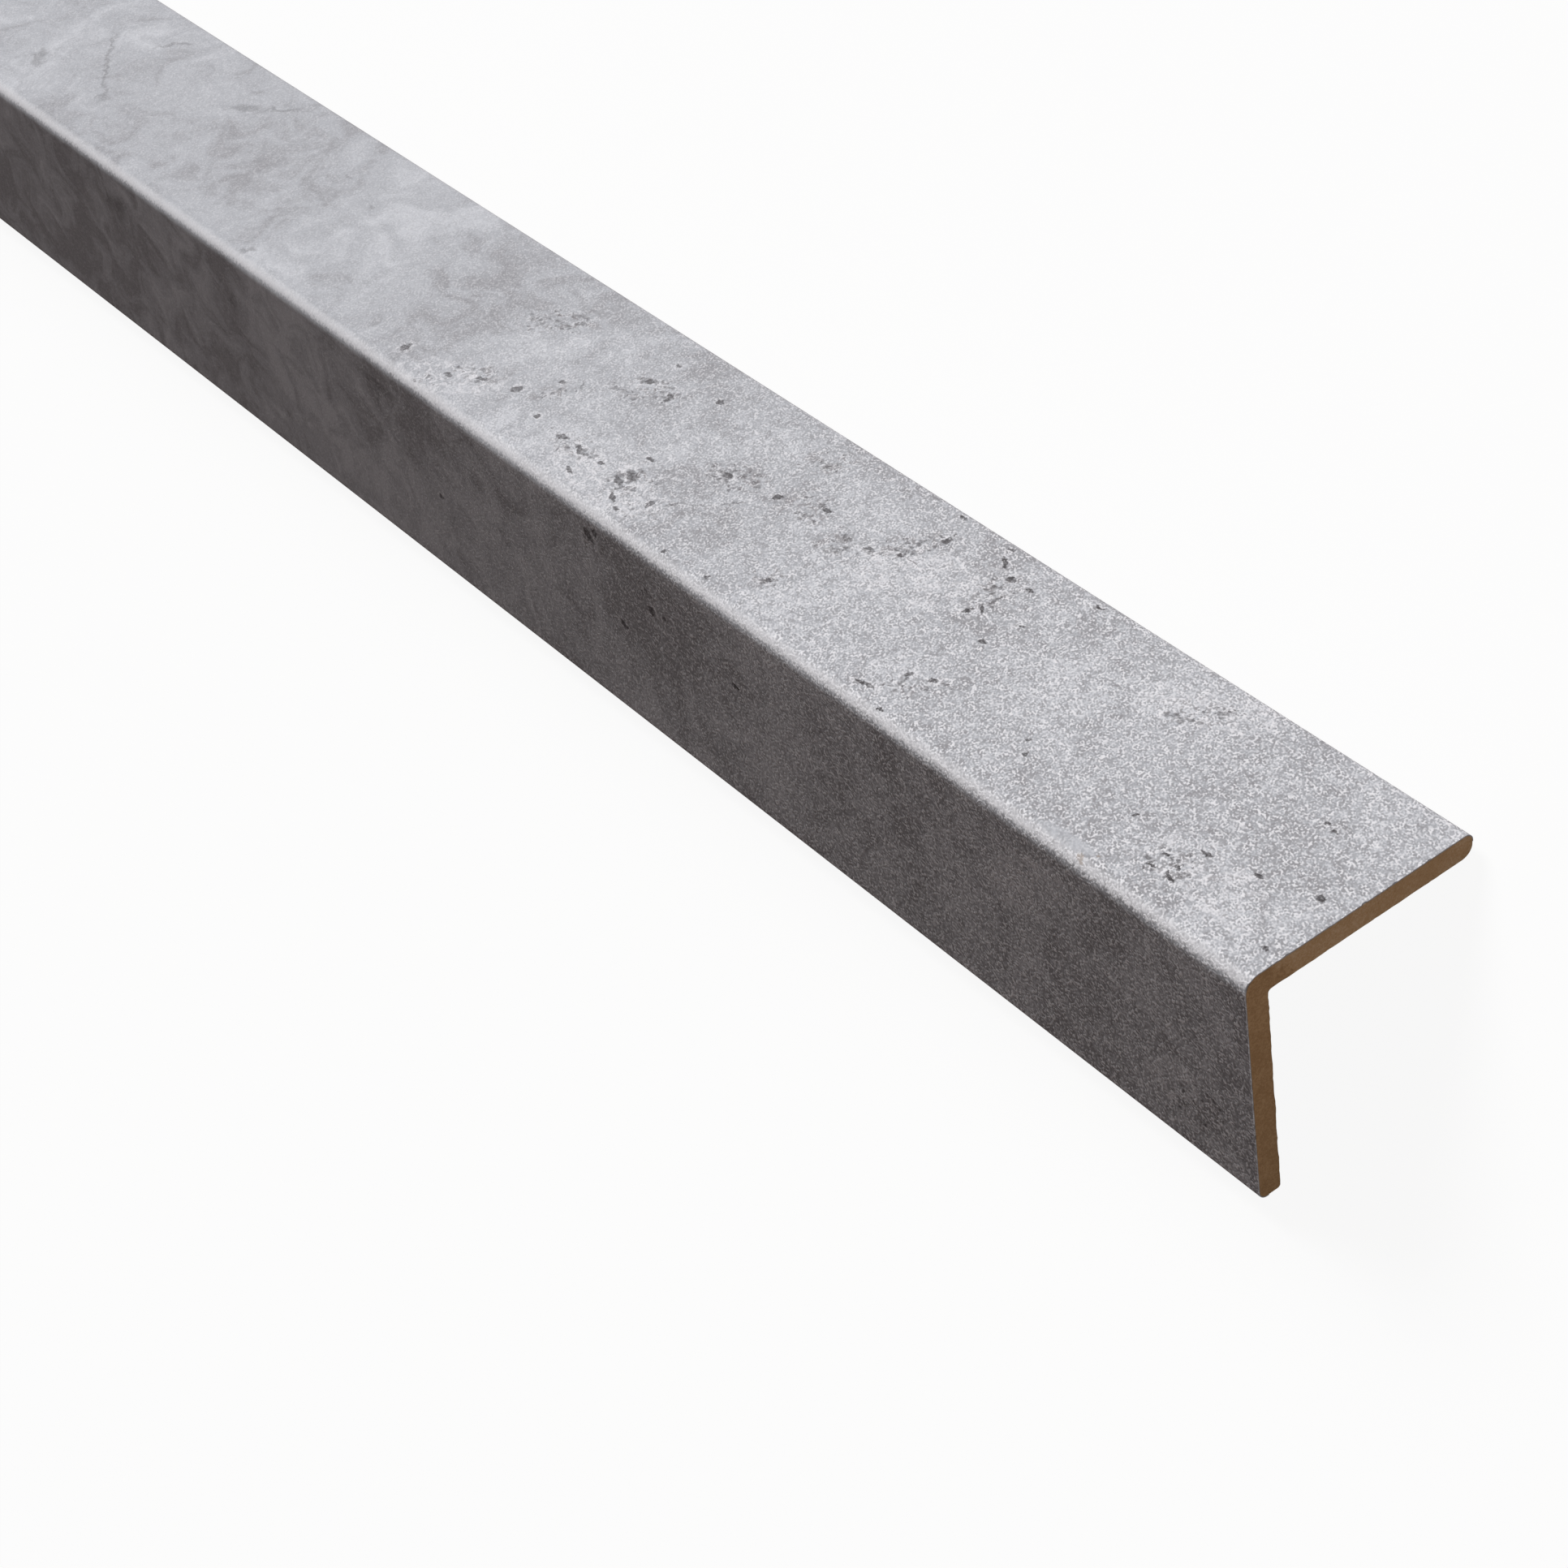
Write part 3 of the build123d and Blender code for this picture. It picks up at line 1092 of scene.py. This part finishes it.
@dataclass
class DecorSheet(RunPiece):
    """The wrapped sheet: an outer face, a glue face and two sawn edges, a little chipped by the saw."""

    chip_depth: float = 0.2 * MM
    chip_grain: float = 1.1 * MM
    chip_from: float = 0.3
    nibble: float = 0.08 * MM
    nibble_grain: float = 0.7 * MM
    glue_share: float = 0.35

    def lines(self) -> tuple[Array, Array]:
        """The face line and the glue line, with equal numbers of points."""
        depths = (0.0, self.section.decor)
        return tuple(self.section.outer_line(depth, self.run_step, self.arc_steps) for depth in depths)

    def profile(self) -> Array:
        """The face line out and the glue line back."""
        face, glue = self.lines()
        return np.concatenate([face, glue[::-1]])

    def end_faces(self, corners: Array) -> EndFaces:
        """The sawn edge as a strip between the two lines."""
        last = len(corners) - 1
        return corners, [(k, k + 1, last - k - 1, last - k) for k in range(len(corners) // 2 - 1)]

    def reshape(self, places: Array, nearest: Array) -> Array:
        """Nibbles and chips the sawn edge, more on its face than on its glue side.

        Args:
            places: Places of the vertices.
            nearest: Profile point nearest to each vertex.

        Returns:
            The new places.
        """
        half, count = self.section.length / 2.0, len(self.profile())
        for k in np.flatnonzero(np.abs(places[:, 0]) > half - SAME_PLACE):
            x, y, z = places[k]
            side = math.copysign(1.0, x)
            nibble = self.nibble * (1.0 + rough((side, y, z), self.nibble_grain, 3.0)) / 2.0
            over = max(0.0, rough((side, y, z), self.chip_grain, 9.0) - self.chip_from)
            share = 1.0 if nearest[k] < count // 2 else self.glue_share
            chip = self.chip_depth * over / self.chip_from
            places[k, 0] = x - side * min(self.chip_depth, nibble + chip) * share
        return places

    def build(self, run: LengthRun, finish: Material) -> bpy.types.Object:
        """Builds the sheet.

        Args:
            run: The tree that runs a profile along the length.
            finish: Material of the sheet.

        Returns:
            The piece.
        """
        mesh, nearest = self.closed("decor_sheet_wrap", run, finish)
        face, _ = self.lines()
        count = len(face)
        across = lengths_along(face)
        across = across[-1] / 2.0 - across
        on_glue = nearest >= count
        spot = np.where(on_glue, 2 * count - 1 - nearest, nearest)
        across, along = across[spot], stored_places(mesh)[:, 0]
        sheet = np.stack([along / MM, across / MM, on_glue.astype(float)], axis=-1)
        layer = mesh.attributes.new(SHEET_PLACE, "FLOAT_VECTOR", "POINT")
        layer.data.foreach_set("vector", sheet.astype(np.float32).ravel())

        corners = FaceCorners(mesh)
        at_end = np.abs(along) > self.section.length / 2.0 - 0.25 * MM
        cap = corners.all_in_face(at_end) & corners.any_in_face(on_glue) & corners.any_in_face(~on_glue)
        rim = corners.any_in_face(on_glue) & corners.any_in_face(~on_glue) & ~cap
        hidden = corners.all_in_face(on_glue)
        x, s, glue = along[corners.vertex], across[corners.vertex], on_glue[corners.vertex]
        x = x + np.where(cap & glue, np.sign(x) * self.section.decor * 2.0, 0.0)
        s = s + np.where(rim & glue, np.sign(s) * self.section.decor * 2.0, 0.0)
        bands = BandMap(self.section.length, np.ptp(across) + 1.0 * MM)
        band = bands.band_of(corners.face_mean(along))
        self.lay_map(mesh, bands.place(x, s, band, hidden))
        return finish_piece("decor_sheet_wrap", mesh, "decor_sheet")


@dataclass
class FibreboardCore(RunPiece):
    """The L-shaped core with its two sawn ends and their torn inner edge."""

    end_grid: float = 0.3 * MM
    end_relief: float = 0.05 * MM
    end_rim: float = 0.05 * MM
    tear: float = 0.1 * MM
    tear_reach: float = 1.0 * MM
    cap_share: float = 0.06

    def profile(self) -> Array:
        """The line under the decor out and the bare inner line back."""
        inner = self.section.inner_line(self.run_step, self.arc_steps)
        return np.concatenate([self.glue_line(), inner[1:-1]])

    def glue_line(self) -> Array:
        """The line under the decor."""
        return self.section.outer_line(self.section.decor, self.run_step, self.arc_steps)

    def end_faces(self, corners: Array) -> EndFaces:
        """The sawn end as a fine net of triangles, so that it can be worked.

        Args:
            corners: The profile.

        Returns:
            Points of the end, the profile's first, and the triangles between them.
        """
        count, section = len(corners), self.section
        steps = np.arange(section.decor, section.leg, self.end_grid)
        grid = np.stack(np.meshgrid(steps, steps), axis=-1).reshape(-1, 2)
        grid = grid + np.random.default_rng(4).uniform(-0.25, 0.25, grid.shape) * self.end_grid
        grid = grid[grid.min(axis=1) < section.wall]
        start, step = corners, np.roll(corners, -1, axis=0) - corners
        away = grid[:, None, :] - start[None, :, :]
        share = ((away * step).sum(axis=2) / (step**2).sum(axis=1)).clip(0.0, 1.0)
        gap = np.linalg.norm(away - share[:, :, None] * step, axis=2).min(axis=1)
        rising = (start[:, 1] > grid[:, 1:]) != (np.roll(start[:, 1], -1) > grid[:, 1:])
        slope = step[:, 0] / np.where(step[:, 1] == 0.0, 1.0, step[:, 1])
        crossing = start[:, 0] + slope * (grid[:, 1:] - start[:, 1]) > grid[:, :1]
        inside = (rising & crossing).sum(axis=1) % 2 == 1
        points = np.concatenate([corners, grid[inside & (gap > 0.4 * self.end_grid)]])
        scaled = [Vector(point / MM) for point in points]
        outline = [(k, (k + 1) % count) for k in range(count)]
        placed, _, faces, _, _, _ = delaunay_2d_cdt(scaled, outline, [], 1, 1e-6)
        return np.array([tuple(point) for point in placed]) * MM, [tuple(face) for face in faces]

    def reshape(self, places: Array, nearest: Array) -> Array:
        """Roughens the sawn ends and tears their inner edge, out to the tear's reach.

        Args:
            places: Places of the vertices.
            nearest: Profile point nearest to each vertex.

        Returns:
            The new places.
        """
        section, loop = self.section, self.profile()
        half, outer = section.length / 2.0, len(self.glue_line())
        p, q = section.to_legs(places)
        away = np.hypot(p - loop[nearest, 0], q - loop[nearest, 1])
        for k in np.flatnonzero(np.abs(places[:, 0]) > half - self.tear_reach):
            x, y, z = places[k]
            side = math.copysign(1.0, x)
            spot = (side, y, z)
            if away[k] > self.end_rim:
                relief = 1.0 + 0.6 * rough(spot, 0.9 * MM, 2.0) + 0.4 * rough(spot, 0.35 * MM, 5.0)
                places[k, 0] = x - side * self.end_relief * relief
            elif nearest[k] >= outer:
                fade = 1.0 - (half - abs(x)) / self.tear_reach
                torn = self.tear * fade * (rough(spot, 1.3 * MM, 7.0) + 0.7 * rough(spot, 0.5 * MM, 8.0))
                step = (0.0, torn / 2.0) if p[k] > q[k] else (torn, 0.0)
                places[k] += section.to_world(0.0, *step) - section.to_world(0.0, 0.0, 0.0)
                places[k, 2] = max(places[k, 2], 0.0)
        return places

    def build(self, run: LengthRun, finish: Material) -> bpy.types.Object:
        """Builds the core.

        Args:
            run: The tree that runs a profile along the length.
            finish: Material of the core.

        Returns:
            The piece.
        """
        mesh, nearest = self.closed("fibreboard_core_body", run, finish)
        section, loop, outer = self.section, self.profile(), len(self.glue_line())
        places = stored_places(mesh)
        under_decor = nearest < outer
        p, q = section.to_legs(places)
        inner = lengths_along(np.concatenate([loop[outer - 1 :], loop[:1]]))
        hidden_line = lengths_along(loop[:outer])
        inside_at = np.concatenate([np.full(outer, inner[-1]), inner[1:-1]])
        inside_at[outer - 1] = 0.0
        inside_across = inside_at[nearest] - inner[-1] / 2.0
        hidden_across = np.where(under_decor, hidden_line[np.minimum(nearest, outer - 1)], 0.0)
        hidden_across = hidden_across - hidden_line[-1] / 2.0

        corners = FaceCorners(mesh)
        end = np.abs(places[:, 0]) > section.length / 2.0 - 4.0 * self.end_relief
        cap = corners.all_in_face(end)
        hidden = corners.all_in_face(under_decor) & ~cap
        bands = BandMap(section.length, inner[-1] + 1.0 * MM, top=1.0 - 2.0 * self.cap_share)
        band = bands.band_of(corners.face_mean(places[:, 0]))
        at = corners.vertex
        across = np.where(hidden, hidden_across[at], inside_across[at])
        spots = bands.place(places[at, 0], across, band, hidden)
        reach = section.leg + section.wall
        cap_u = 0.5 + (p - q)[at] / (2.0 * reach)
        rise = 0.15 + 0.7 * np.minimum(p, q)[at] / section.wall
        cap_v = 1.0 - self.cap_share * (1.0 + (places[at, 0] < 0.0)) + self.cap_share * rise
        self.lay_map(mesh, np.where(cap[:, None], np.stack([cap_u, cap_v], axis=-1), spots))
        return finish_piece("fibreboard_core_body", mesh, "fibreboard_core")


# ---- Studio ----


@dataclass(frozen=True)
class Lamp:
    """One soft rectangular lamp.

    Attributes:
        name: Name of the lamp.
        direction: From what it lights towards the lamp.
        distance: How far off it hangs.
        size: Its width and height.
        power: Its power in watts.
    """

    name: str
    direction: Place
    distance: float
    size: Point
    power: float

    def hang(self, target: Vector) -> None:
        """Adds the lamp to the scene.

        Args:
            target: What it points at.
        """
        data = bpy.data.lights.new(self.name, "AREA")
        data.shape, data.size, data.size_y = "RECTANGLE", *self.size
        data.energy = self.power
        lamp = bpy.data.objects.new(self.name, data)
        lamp.location = target + Vector(self.direction).normalized() * self.distance
        lamp.rotation_euler = (target - lamp.location).to_track_quat("-Z", "Y").to_euler()
        bpy.context.scene.collection.objects.link(lamp)


@dataclass(frozen=True)
class Studio:
    """Floor, lamps, world and camera.

    Attributes:
        key: Hangs over the first leg.
        low: Stands before the near end.
        target: What both lamps point at.
        floor_bounce: Colour of the floor to light that bounces off it.
        floor_glow: Share of white in the floor where it is seen.
        fill: Soft light from all round.
    """

    key: Lamp = Lamp("key", (-0.65, 0.515, 0.56), 5.0, (2.2, 1.6), 268.0)
    low: Lamp = Lamp("end", (0.95, 0.28, 0.16), 1.6, (0.6, 0.4), 7.2)
    target: Place = (0.3, 0.0, 0.02)
    floor_half: float = 6.0
    floor_bounce: Colour = (0.42, 0.345, 0.32)
    floor_glow: float = 0.92
    fill: Colour = (0.083, 0.066, 0.061)
    lens: float = 78.24
    sensor: float = 36.0
    eye: Place = (0.68975, 0.05625, 0.30513)
    right: Place = (0.5938, 0.4634, -0.6578)
    up: Place = (-0.4527, 0.8682, 0.2030)

    def add_camera(self) -> None:
        """Adds the camera and makes it the scene's."""
        right, up = Vector(self.right).normalized(), Vector(self.up)
        back = right.cross(up).normalized()
        up = back.cross(right)
        data = bpy.data.cameras.new("camera")
        data.sensor_width, data.lens = self.sensor, self.lens
        data.clip_start, data.clip_end = 0.01, 50.0
        camera = bpy.data.objects.new("camera", data)
        camera.matrix_world = Matrix.Translation(self.eye) @ Matrix((right, up, back)).transposed().to_4x4()
        bpy.context.scene.collection.objects.link(camera)
        bpy.context.scene.camera = camera

    def add_floor(self) -> None:
        """Adds the plain pale floor."""
        half = self.floor_half
        corners = [(-half, -half, 0), (half, -half, 0), (half, half, 0), (-half, half, 0)]
        mesh = bpy.data.meshes.new("floor")
        mesh.from_pydata(corners, [], [(0, 1, 2, 3)])
        floor = bpy.data.objects.new("floor", mesh)
        bpy.context.scene.collection.objects.link(floor)
        material = bpy.data.materials.new("pale_floor")
        material.use_nodes = True
        graph = Graph(material.node_tree)
        seen = graph.seen_directly()
        tint = graph.mix(seen, self.floor_bounce, WHITE)
        paint = graph.node("ShaderNodeBsdfDiffuse", None, {"Color": tint})
        white = graph.node("ShaderNodeEmission", None, {"Color": (*WHITE, 1.0), "Strength": 1.0})
        mixed = graph.node("ShaderNodeMixShader", None, {
            0: seen * self.floor_glow, 1: paint.outputs[0], 2: white.outputs[0]})
        graph.node("ShaderNodeOutputMaterial", None, {"Surface": mixed.outputs[0]})
        mesh.materials.append(material)

    def add_world(self) -> None:
        """Adds the soft fill, white where the camera or a reflection sees it."""
        world = bpy.data.worlds.new("studio")
        bpy.context.scene.world = world
        world.use_nodes = True
        graph = Graph(world.node_tree)
        tint = graph.mix(graph.seen_directly(), self.fill, WHITE)
        shade = graph.node("ShaderNodeBackground", None, {"Color": tint, "Strength": 1.0})
        graph.node("ShaderNodeOutputWorld", None, {"Surface": shade.outputs[0]})

    def build(self) -> None:
        """Builds the whole studio."""
        self.add_camera()
        for lamp in (self.key, self.low):
            lamp.hang(Vector(self.target))
        self.add_floor()
        self.add_world()
        bpy.context.scene.view_settings.view_transform = "Standard"


def main() -> None:
    """Builds the pieces and the studio."""
    logging.basicConfig(level=logging.INFO)
    section = Section(length=cad_box[1].x - cad_box[0].x)
    run = LengthRun()
    FibreboardCore(section).build(run, FibreFinish().build())
    DecorSheet(section, run_step=0.3 * MM).build(run, DecorFinish(section.length / MM).build())
    Studio().build()


if __name__ == "__main__":
    main()
